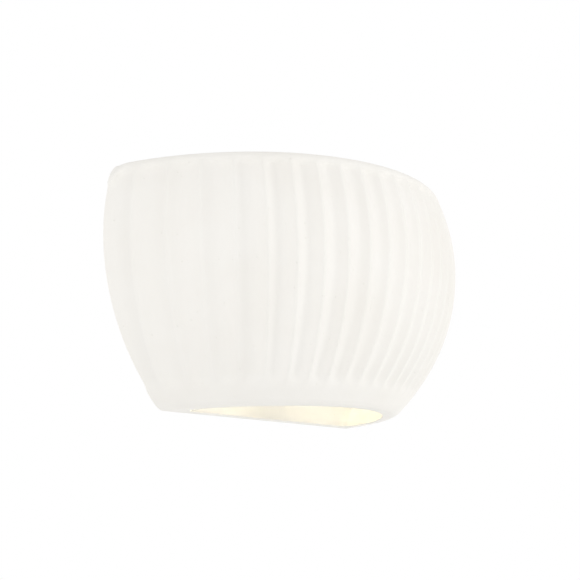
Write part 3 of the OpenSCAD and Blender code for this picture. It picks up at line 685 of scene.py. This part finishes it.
def combine(piece, mesh, operation):
    """Joins a mesh to a piece, or cuts it away, for good."""
    other = add_object("other", mesh)
    modifier = piece.modifiers.new("combine", "BOOLEAN")
    modifier.operation = operation
    modifier.solver = "EXACT"
    modifier.object = other
    graph = bpy.context.evaluated_depsgraph_get()
    result = bpy.data.meshes.new_from_object(piece.evaluated_get(graph))
    piece.modifiers.clear()
    piece.data = result
    bpy.data.objects.remove(other)


def cut_away(piece, mesh):
    combine(piece, mesh, "DIFFERENCE")


def taken_from(piece):
    """The mesh of a piece in the making, which is then removed."""
    mesh = piece.data
    bpy.data.objects.remove(piece)
    return mesh


def centre(node):
    low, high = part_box(node)
    return (low + high) / (2.0 * MM)


def span(node):
    low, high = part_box(node)
    return (high - low) / MM


def lowest(node):
    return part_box(node)[0] / MM


def highest(node):
    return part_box(node)[1] / MM


# Openings in the back of the bowl, in millimetres, and how far a cut reaches past what it goes through
SERVICE_W = 80.0
SERVICE_H = 40.0
SERVICE_R = 4.0
STRAP_PLAY = 0.8
POCKET_R = 1.5
STUD_HOLE = 6.0
CUT_PAST = 1.0


def make_bowl():
    """The plaster bowl, with its service opening, the strap's pocket and the stud holes."""
    strap = span("wall_bracket")
    stud_x = centre("nut_right").x
    through = -BACK_T - CUT_PAST
    pocket = rounded_outline(strap.x + 2 * STRAP_PLAY, strap.z + 2 * STRAP_PLAY, POCKET_R)
    piece = add_object("plaster_bowl", bowl_mesh())
    cut_away(piece, prism(rounded_outline(SERVICE_W, SERVICE_H, SERVICE_R), CUT_PAST, through))
    cut_away(piece, prism(pocket, CUT_PAST, -strap.y - STRAP_PLAY / 2))
    for side in (-1, 1):
        cut_away(piece, prism(circle_outline(side * stud_x, STUD_HOLE), CUT_PAST, through))
    stand_for("plaster_bowl", taken_from(piece), "shade", CUT_SHARP_ANGLE)


# Rounded edges: how near points are one, before and after, which faces are flat, and the rounding's steps
MERGE_BEFORE = 0.002
MERGE_AFTER = 0.0005
FLAT_ANGLE = 0.6
ROUNDING_STEPS = 2


def soften_edges(bm, width):
    """Rounds the sharp edges of a mesh by that width in millimetres."""
    bmesh.ops.remove_doubles(bm, verts=bm.verts, dist=MERGE_BEFORE * MM)
    bmesh.ops.dissolve_limit(bm, angle_limit=math.radians(FLAT_ANGLE), verts=bm.verts, edges=bm.edges)
    limit = math.radians(SHARP_ANGLE)
    edges = [e for e in bm.edges if e.is_manifold and e.calc_face_angle(0.0) > limit]
    bmesh.ops.bevel(bm, geom=edges, offset=width * MM, segments=ROUNDING_STEPS, profile=0.5, affect="EDGES",
                    clamp_overlap=True)
    bmesh.ops.remove_doubles(bm, verts=bm.verts, dist=MERGE_AFTER * MM)


def softened(node, name, width):
    """A copy of a CAD node with its sharp edges rounded by that width in millimetres, standing for it."""
    bm = bmesh.new()
    bm.from_mesh(frame["nodes"][node].data)
    soften_edges(bm, width)
    stand_for(name, mesh_from(bm, name), node)


# Leads: smooth tubes along the routes of the part's source, in millimetres
LEAD_D = 2.0
LEAD_SIDES = 20
LEAD_STEPS = 12
LEAD_GRIP = 4.0
LEAD_STUB = 1.0
LEAD_PLAY = 0.1
LIVE_DIP = 9.0
NEUTRAL_DIP = 13.0
STRIPE_SHARE = 0.2
BUSH_BORE_D = 4.8
PIN_SPACING = 9.0


def smooth_route(points):
    """Catmull-Rom curve through the points, with straight ends."""
    p = np.array(points, float)
    q = np.concatenate([[2 * p[0] - p[1]], p, [2 * p[-1] - p[-2]]])
    curve = []
    for i in range(1, len(p)):
        a, b, c, d = q[i - 1], q[i], q[i + 1], q[i + 2]
        for t in np.arange(LEAD_STEPS) / LEAD_STEPS:
            curve.append(0.5 * (2 * b + (c - a) * t + (2 * a - 5 * b + 4 * c - d) * t * t
                                + (3 * b - a - 3 * c + d) * t ** 3))
    return np.array(curve + [p[-1]])


def lead(name, node, route, side, stripes=False):
    """A tube along the route; side is a direction that the route never runs along."""
    path = smooth_route(route)
    n = len(path)
    bm = bmesh.new()
    rings = []
    for i in range(n):
        along_it = path[min(n - 1, i + 1)] - path[max(0, i - 1)]
        along_it /= np.linalg.norm(along_it)
        u = side - np.dot(side, along_it) * along_it
        u /= np.linalg.norm(u)
        v = np.cross(along_it, u)
        ring = []
        for s in range(LEAD_SIDES):
            a = 2.0 * math.pi * s / LEAD_SIDES
            ring.append(bm.verts.new((path[i] + LEAD_D / 2 * (math.cos(a) * u + math.sin(a) * v)) * MM))
        rings.append(ring)
    # two yellow stripes lie on opposite sides of the earth lead
    for number, face in enumerate(skin(bm, rings)):
        face.material_index = int(stripes and number % (LEAD_SIDES // 2) < LEAD_SIDES * STRIPE_SHARE)
    piece = stand_for(name, mesh_from(bm, name), node)
    if stripes:
        piece.data.materials.append(YELLOW_STRIPE)


def feed_route(x_start, side, y_end, dip):
    """From the terminal strip through the bush, under the arm and up into the lamp holder."""
    above = 6.0
    spread = 0.7
    hold = 1.2
    turn = 6.0
    rise = 4.5
    # shares of the bush's offset that are left on the way to the holder
    near = 0.85
    middle = 0.6
    far = 0.15
    tube_y = centre("terminal_inserts").y
    entry_z = lowest("terminal_inserts").z + LEAD_GRIP
    end_z = lowest("terminal_body").z - LEAD_STUB
    bush = centre("wire_bush")
    pan_z = lowest("gear_cover").z
    low_z = pan_z - dip
    x = bush.x + side * (BUSH_BORE_D / 2 - LEAD_D / 2 - LEAD_PLAY)
    return [
        (x_start, tube_y, entry_z),
        (x_start, tube_y, end_z),
        (x + side * spread, bush.y, pan_z + above),
        (x, bush.y, pan_z + hold),
        (x, bush.y, pan_z - hold),
        (x, bush.y, pan_z - 3 * hold),
        (x * near, bush.y - turn, low_z + LEAD_D / 2),
        (x * middle, (bush.y + y_end) / 2, low_z),
        (x * far, y_end + turn, low_z + LEAD_D / 2),
        (0, y_end, low_z + rise),
        (0, y_end, pan_z),
        (0, y_end, lowest("holder_contacts").z),
    ]


def earth_route(x_start):
    """From the terminal strip in a short loop up into the barrel of the ring terminal."""
    bow = 4.0
    sag = 7.5
    tube_y = centre("terminal_inserts").y
    entry_z = lowest("terminal_inserts").z + LEAD_GRIP
    end_z = lowest("terminal_body").z
    ring = centre("earth_ring")
    barrel_z = lowest("earth_ring").z
    return [
        (x_start, tube_y, entry_z),
        (x_start, tube_y, end_z - LEAD_STUB),
        (x_start + bow, tube_y, end_z - sag + LEAD_D),
        ((x_start + ring.x) / 2, (tube_y + ring.y) / 2, end_z - sag),
        (ring.x - bow, ring.y, end_z - sag + LEAD_D / 2),
        (ring.x, ring.y, barrel_z - 2 * LEAD_STUB),
        (ring.x, ring.y, barrel_z),
        (ring.x, ring.y, barrel_z + LEAD_D),
    ]


def make_leads():
    """The three leads inside: live in the strip's middle pole, neutral and earth beside it."""
    pole = centre("terminal_inserts").x
    pitch = pole_pitch()
    bulb_y = centre("bulb_glass").y
    across = np.array([1.0, 0.0, 0.0])
    live = feed_route(pole, 1, bulb_y + PIN_SPACING / 2, LIVE_DIP)
    neutral = feed_route(pole - pitch, -1, bulb_y - PIN_SPACING / 2, NEUTRAL_DIP)
    lead("live_lead", "wire_live", live, across)
    lead("neutral_lead", "wire_neutral", neutral, across)
    lead("earth_lead", "wire_earth", earth_route(pole + pitch), np.array([0.0, 1.0, 0.0]), stripes=True)


# Turned pieces, with true screw threads
TURNED_SIDES = 48
ROWS_PER_PITCH = 8
PITCHES = {2.5: 0.45, 2.6: 0.45, 3.0: 0.5, 4.0: 0.7}

# A thread's form, in shares of its pitch: crest, flanks, height, and how it runs out at the tip
THREAD_CREST = 0.12
THREAD_FLANKS = 0.68
THREAD_HEIGHT = 0.58
THREAD_RUNOUT = 0.5
SAME_HEIGHT = 1e-6


def facing_room(x, y, z):
    """Places a turned piece that starts at this point and runs towards the room."""
    return lambda u, v, h: (x + u, y - h, z + v)


def facing_up(x, y, z):
    """Places a turned piece that starts at this point and runs upwards."""
    return lambda u, v, h: (x + u, y + v, z + h)


def thread_depth(turns):
    """Depth of a thread, from 0 on its crest to 1 at its root, at a place counted in turns."""
    across = np.abs((turns % 1.0) * 2.0 - 1.0)
    return np.clip((across - THREAD_CREST) / THREAD_FLANKS, 0.0, 1.0)


def turned(bm, place, profile, thread=None):
    """Adds a solid turned from (radius, height) pairs, threaded between the two heights in thread."""
    rows = []
    for (r0, h0), (r1, h1) in zip(profile, profile[1:]):
        rows.append((r0, h0))
        if thread and r0 == r1 and h0 <= thread[0] + SAME_HEIGHT and h1 >= thread[1] - SAME_HEIGHT:
            pitch = PITCHES[round(2 * r0, 1)]
            count = int(round((thread[1] - thread[0]) / pitch * ROWS_PER_PITCH))
            rows += [(r0, h) for h in np.linspace(thread[0], thread[1], count + 1)[1:-1]]
    rows.append(profile[-1])
    angles = 2.0 * math.pi * np.arange(TURNED_SIDES) / TURNED_SIDES
    rings = []
    for r, h in rows:
        radii = np.full(TURNED_SIDES, float(r))
        if thread and thread[0] < h < thread[1] and round(2 * r, 1) in PITCHES:
            pitch = PITCHES[round(2 * r, 1)]
            ends = min(1.0, (h - thread[0]) / pitch, (thread[1] - h) / (THREAD_RUNOUT * pitch))
            radii -= THREAD_HEIGHT * pitch * ends * thread_depth(h / pitch - angles / (2.0 * math.pi))
        if r == 0:
            rings.append([bm.verts.new([c * MM for c in place(0.0, 0.0, h)])])
        else:
            rings.append([bm.verts.new([c * MM for c in place(q * math.cos(a), q * math.sin(a), h)])
                          for q, a in zip(radii, angles)])
    skin(bm, rings)


def round_edge(r, h, size):
    """Points of a rounded outer edge of a profile, from its flat end to its side."""
    steps = 3
    turns = [0.5 * math.pi * i / steps for i in range(steps + 1)]
    return [(r - size * (1.0 - math.sin(a)), h + size * (1.0 - math.cos(a))) for a in turns]


def turned_piece(name, node, parts, smooth=SHARP_ANGLE):
    """A piece of one or more turned solids: each part gives its place, its profile and its thread or None."""
    bm = bmesh.new()
    for place, profile, thread in parts:
        turned(bm, place, profile, thread)
    stand_for(name, mesh_from(bm, name), node, smooth)


# Hardware that keeps the sizes of the part's source, in millimetres
STUD_R = 2.0
STUD_HEAD_T = 0.7
STUD_TIP = 0.5
STUD_NECK = 0.4
CLAMP_R = 1.3
CLAMP_HEAD_T = 1.6
FIXING_R = 1.25
FIXING_HEAD_T = 1.8
EARTH_R = 2.0
EARTH_HEAD_T = 2.2
EARTH_THREAD = 1.6
HOLDER_SCREW_R = 1.5
HOLDER_SCREW_HEAD_T = 1.9
HOLDER_SCREW_THREAD = 3.4
RIVET_R = 1.6
RIVET_TAIL_R = 2.2
RIVET_TAIL_T = 0.9
RIVET_DOME_H = 1.2
GLASS_T = 0.9
SHEET_T = 1.2
PAN_W = 86.0
PAN_R = 4.0
PAN_EDGE_R = 2.0
FLANGE_H = 30.0
FLANGE_R = 3.0
FLANGE_HOLE = 5.0
BUSH_LIP = 1.3


def make_studs():
    """Studs pressed into the strap: a flush head behind, a plain neck and a thread to the tip."""
    soft = 0.1
    length = -lowest("bracket_studs").y
    head_r = span("bracket_studs").z / 2
    neck = span("wall_bracket").y + STUD_NECK
    thread_end = length - STUD_TIP
    head = [(head_r - soft, 0.0), (head_r, soft), (head_r, STUD_HEAD_T), (STUD_R, STUD_HEAD_T)]
    shank = [(STUD_R, neck), (STUD_R, thread_end), (STUD_R - STUD_TIP, length)]
    places = [facing_room(centre(nut).x, 0.0, 0.0) for nut in ("nut_left", "nut_right")]
    turned_piece("threaded_studs", "bracket_studs",
                 [(place, head + shank, (neck, thread_end)) for place in places])


def cheese_head(radius, head_t, shank_r, length, threaded):
    """Profile of a screw from its head's top, and the heights of its thread."""
    soft = 0.25
    tip = 0.3
    whole = head_t + length
    profile = round_edge(radius, 0.0, soft)
    profile += [(radius, head_t), (shank_r, head_t), (shank_r, whole - tip), (shank_r - tip, whole)]
    return profile, (whole - tip - threaded, whole - tip) if threaded else None


def slot_cutter(bm, place, angle, radius, depth, width):
    """A bar that cuts a drive slot across a screw's head."""
    c, s = math.cos(angle), math.sin(angle)
    corners = []
    for h in (-CUT_PAST, depth):
        for u, v in ((-radius, -width / 2), (radius, -width / 2), (radius, width / 2), (-radius, width / 2)):
            corners.append(bm.verts.new([q * MM for q in place(u * c - v * s, u * s + v * c, h)]))
    for quad in ((3, 2, 1, 0), (4, 5, 6, 7), (0, 1, 5, 4), (1, 2, 6, 5), (2, 3, 7, 6), (3, 0, 4, 7)):
        bm.faces.new([corners[i] for i in quad])


# Angle of the first screw's slot, and how much further the next one is turned, in radians
FIRST_SLOT = 0.35
NEXT_SLOT = 1.7
SLOT_REACH = 1.5


def slotted_screws(name, node, places, head_r, head_t, shank_r, threaded):
    """Screws with a straight slot, each turned to its own angle."""
    bm = bmesh.new()
    cutters = bmesh.new()
    tall = span(node)
    length = (tall.z if node == "holder_screws" else tall.y) - head_t
    profile, thread = cheese_head(head_r, head_t, shank_r, length, threaded)
    for i, place in enumerate(places):
        turned(bm, place, profile, thread)
        slot_cutter(cutters, place, FIRST_SLOT + NEXT_SLOT * i, SLOT_REACH * head_r, head_t / 2, head_r / 3)
    bmesh.ops.recalc_face_normals(cutters, faces=cutters.faces)
    piece = add_object(name, mesh_from(bm, name))
    cut_away(piece, mesh_from(cutters, "slots"))
    stand_for(name, taken_from(piece), node, CUT_SHARP_ANGLE)


def pole_pitch():
    """Distance between the poles of the terminal strip, whose three tubes are as wide as they are deep."""
    return (span("terminal_inserts").x - span("terminal_inserts").y) / 2


def make_screws():
    """Six clamping screws, the strip's own screw, the earth post and the holder's two screws."""
    inserts = centre("terminal_inserts")
    screws = span("terminal_screws")
    head_r = (screws.x - 2 * pole_pitch()) / 2
    clamp_z = (screws.z - 2 * head_r) / 2
    back = highest("terminal_screws").y
    places = [facing_room(inserts.x + i * pole_pitch(), back, side * clamp_z)
              for i in (-1, 0, 1) for side in (-1, 1)]
    slotted_screws("clamp_screws", "terminal_screws", places, head_r, CLAMP_HEAD_T, CLAMP_R, 0)

    def single(name, node, head_t, shank_r, threaded):
        middle = centre(node)
        place = facing_room(middle.x, highest(node).y, middle.z)
        slotted_screws(name, node, [place], span(node).x / 2, head_t, shank_r, threaded)

    single("strip_screw", "terminal_fixing_screw", FIXING_HEAD_T, FIXING_R, 0)
    single("earth_post", "earth_screw", EARTH_HEAD_T, EARTH_R, EARTH_THREAD)

    bulb_y = centre("bulb_glass").y
    head_r = span("holder_screws").x / 2
    apart = (span("holder_screws").y - 2 * head_r) / 2
    top = highest("holder_screws").z
    places = [lambda u, v, h, y=bulb_y + side * apart: (u, y - v, top - h) for side in (-1, 1)]
    slotted_screws("holder_screws_m3", "holder_screws", places, head_r, HOLDER_SCREW_HEAD_T,
                   HOLDER_SCREW_R, HOLDER_SCREW_THREAD)


def make_rivets():
    """Domed rivet heads in front of the arm, with flat tails inside the cover."""
    soft = 0.2
    steps = 8
    back = highest("arm_rivets").y
    head_r = span("arm_rivets").z / 2
    reach = (span("arm_rivets").x - 2 * head_r) / 2
    z = centre("arm_rivets").z
    length = back - lowest("arm_rivets").y
    dome = length - RIVET_DOME_H
    sphere_r = (head_r ** 2 + RIVET_DOME_H ** 2) / (2 * RIVET_DOME_H)
    opening = math.asin(head_r / sphere_r)
    profile = [(RIVET_TAIL_R - soft, 0.0), (RIVET_TAIL_R, soft), (RIVET_TAIL_R, RIVET_TAIL_T),
               (RIVET_R, RIVET_TAIL_T), (RIVET_R, dome)]
    for i in range(steps):
        a = opening * (1.0 - i / steps)
        profile.append((sphere_r * math.sin(a), dome + sphere_r * (math.cos(a) - math.cos(opening))))
    profile.append((0.0, length))
    turned_piece("dome_rivets", "arm_rivets",
                 [(facing_room(side * reach, back, z), profile, None) for side in (-1, 1)],
                 ROUND_SHARP_ANGLE)


def make_glass():
    """The clear capsule of the bulb: a tube with a round end, as a thin shell."""
    steps = 16
    soft_in = 0.15
    soft_out = 0.2
    r = span("bulb_glass").x / 2
    inner = r - GLASS_T
    height = span("bulb_glass").z
    straight = height - r
    turns = [0.5 * math.pi * i / steps for i in range(1, steps + 1)]
    profile = [(0.0, straight + inner)]
    profile += [(inner * math.sin(a), straight + inner * math.cos(a)) for a in turns]
    profile += [(inner, soft_in), (inner + soft_in, 0.0), (r - soft_out, 0.0), (r, soft_out)]
    profile += [(r * math.sin(a), straight + r * math.cos(a)) for a in turns[::-1]]
    profile.append((0.0, height))
    place = centre("bulb_glass")
    turned_piece("glass_capsule", "bulb_glass",
                 [(facing_up(place.x, place.y, lowest("bulb_glass").z), profile, None)],
                 GLASS_SHARP_ANGLE)


def pan_shell(inset, back, front, edge_r, pan_h):
    """The pan's outside or its hollow, from its open back round the soft edge to its front."""
    steps = 6
    least_r = 0.6
    rows = [(inset, back)]
    for i in range(steps + 1):
        a = 0.5 * math.pi * i / steps
        rows.append((inset + edge_r * (1.0 - math.cos(a)), front + edge_r * (1.0 - math.sin(a))))
    bm = bmesh.new()
    rings = []
    for inwards, y in rows:
        outline = rounded_outline(PAN_W - 2 * inwards, pan_h - 2 * inwards, max(PAN_R - inwards, least_r))
        rings.append([bm.verts.new((x * MM, y * MM, z * MM)) for x, z in outline])
    skin(bm, rings)
    bmesh.ops.recalc_face_normals(bm, faces=bm.faces)
    return mesh_from(bm, "pan")


def make_cover():
    """The pressed steel pan with rounded edges and its two flanges."""
    soft = 0.2
    low, high = lowest("gear_cover"), highest("gear_cover")
    pan_h = high.z - low.z
    piece = add_object("pressed_cover", pan_shell(0.0, high.y, low.y, PAN_EDGE_R, pan_h))
    flanges = rounded_outline(high.x - low.x, FLANGE_H, FLANGE_R)
    combine(piece, prism(flanges, high.y, high.y - SHEET_T), "UNION")
    cut_away(piece, pan_shell(SHEET_T, high.y + CUT_PAST, low.y + SHEET_T, PAN_EDGE_R - SHEET_T, pan_h))
    stud_x = centre("nut_right").x
    for x in (-stud_x, stud_x):
        cut_away(piece, prism(circle_outline(x, FLANGE_HOLE), high.y + CUT_PAST, high.y - SHEET_T - CUT_PAST))
    bush = centre("wire_bush")
    hole_r = span("wire_bush").x / 2 - BUSH_LIP
    hole = bmesh.new()
    turned(hole, facing_up(bush.x, bush.y, low.z - CUT_PAST),
           [(hole_r, 0.0), (hole_r, SHEET_T + 2 * CUT_PAST)])
    cut_away(piece, mesh_from(hole, "bush_hole"))
    bm = bmesh.new()
    bm.from_mesh(taken_from(piece))
    soften_edges(bm, soft)
    stand_for("pressed_cover", mesh_from(bm, "pressed_cover"), "gear_cover", CUT_SHARP_ANGLE)


def make_bush():
    """The rubber bush: two soft lips on a neck that the cover's sheet fills."""
    soft = 0.35
    crown = 0.8
    edge_r = 0.25
    edge_h = 0.1
    seam = 0.001
    r = span("wire_bush").x / 2
    tall = span("wire_bush").z
    bore = BUSH_BORE_D / 2
    neck = r - BUSH_LIP
    over = (tall - SHEET_T) / 2
    # half the profile, from the bore out to the neck; the other half mirrors it
    half = [(bore + soft, 0.0), (r - crown, 0.0), (r - edge_r, edge_r), (r, over - edge_h),
            (r - edge_h, over), (neck, over)]
    profile = half + [(radius, tall - h) for radius, h in half[::-1]]
    profile += [(bore, tall - soft), (bore, soft), (bore + soft, 0.0)]
    middle = centre("wire_bush")
    bm = bmesh.new()
    turned(bm, facing_up(middle.x, middle.y, lowest("wire_bush").z), profile)
    # the profile ends where it starts, so its two end faces go and its first and last rings become one
    ends = [f for f in bm.faces if len(f.verts) > 4]
    bmesh.ops.delete(bm, geom=ends, context="FACES_ONLY")
    bmesh.ops.remove_doubles(bm, verts=bm.verts, dist=seam * MM)
    stand_for("rubber_bush", mesh_from(bm, "rubber_bush"), "wire_bush", ROUND_SHARP_ANGLE)


def make_hardware():
    """Copies of the smaller CAD pieces with their real soft edges, in millimetres."""
    for node, name, width in (
            ("wall_bracket", "steel_strap", 0.25),
            ("flange_pads", "rubber_pads", 0.2),
            ("washer_left", "plain_washer_left", 0.12),
            ("washer_right", "plain_washer_right", 0.12),
            ("nut_left", "knurled_nut_left", 0.1),
            ("nut_right", "knurled_nut_right", 0.1),
            ("terminal_body", "strip_body", 0.3),
            ("terminal_inserts", "strip_tubes", 0.12),
            ("earth_washer", "toothed_washer", 0.08),
            ("earth_ring", "ring_terminal", 0.12),
            ("holder_arm", "bent_arm", 0.2),
            ("holder_body", "ceramic_holder", 0.5),
            ("holder_contacts", "spring_forks", 0.06),
            ("holder_nuts", "hexagon_nuts", 0.15),
            ("bulb_base", "bulb_foot", 0.4),
            ("led_core", "light_core", 0.25),
            ("led_strips", "light_strips", 0.12)):
        softened(node, name, width)


def paint_nodes(*nodes):
    """Gives CAD nodes whose shape is right their finish."""
    for node in nodes:
        mesh = frame["nodes"][node].data
        mesh.materials.clear()
        mesh.materials.append(MATERIALS[SLOTS[node]])


bpy.context.scene.view_settings.view_transform = "Standard"
place_camera()
light_world()
area_light("key", KEY_PLACE, KEY_SIZE, KEY_POWER)
area_light("fill", FILL_PLACE, FILL_SIZE, FILL_POWER)
lay_floor()
make_bowl()
make_leads()
make_studs()
make_screws()
make_rivets()
make_glass()
make_cover()
make_bush()
make_hardware()
paint_nodes("bulb_pins")
